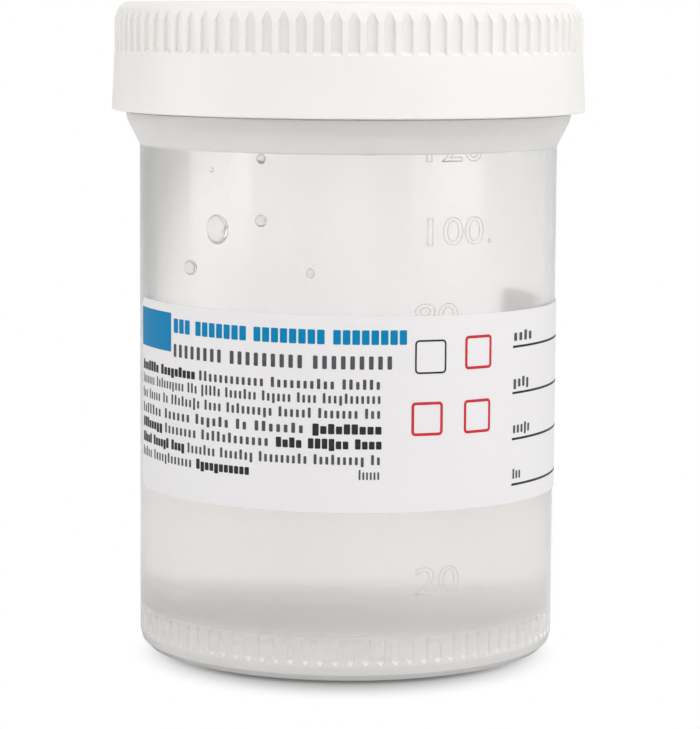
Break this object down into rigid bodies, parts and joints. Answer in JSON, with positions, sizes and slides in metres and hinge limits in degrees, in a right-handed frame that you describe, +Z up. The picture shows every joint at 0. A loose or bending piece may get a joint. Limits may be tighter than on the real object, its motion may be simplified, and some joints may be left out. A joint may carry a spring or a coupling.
{
  "type": "specimen container",
  "caption": "Clear round specimen container with liquid inside, a band label, raised volume marks, a screw neck, a sealing disc and a ribbed screw cap.",
  "frame": {"origin": "middle of the surface that the container stands on, on the axis of the cup", "axes": "+Z up along the axis of cup, neck and cap; the printed side of the label faces -Y, and +X is to its right"},
  "size_m": [0.0594, 0.0594, 0.0813],
  "materials": {
    "cup_plastic": "clear, slightly hazy",
    "cap_plastic": "satin, translucent white",
    "liner_foam": "soft matte foam",
    "label_film": "white film with print",
    "clear_liquid": "clear liquid"
  },
  "bodies": {
    "cup": {"container": "cup_plastic", "label": "label_film", "liquid": "clear_liquid"},
    "sealing_disc": {"cap_liner": "liner_foam"},
    "cap": {"screw_cap": "cap_plastic"}
  },
  "joints": [
    {"name": "cap_lift", "type": "slide", "parent": "cup", "child": "sealing_disc", "axis": [0, 0, 1], "range_m": [0, 0.02521]},
    {"name": "cap_turn", "type": "hinge", "parent": "sealing_disc", "child": "cap", "pos_m": [0, 0, 0.0793], "axis": [0, 0, 1], "range_deg": [0, 2160]}
  ],
  "couplings": [
    {"joint": "cap_lift", "follows": "cap_turn", "m_per_rad": 0.00066845}
  ]
}
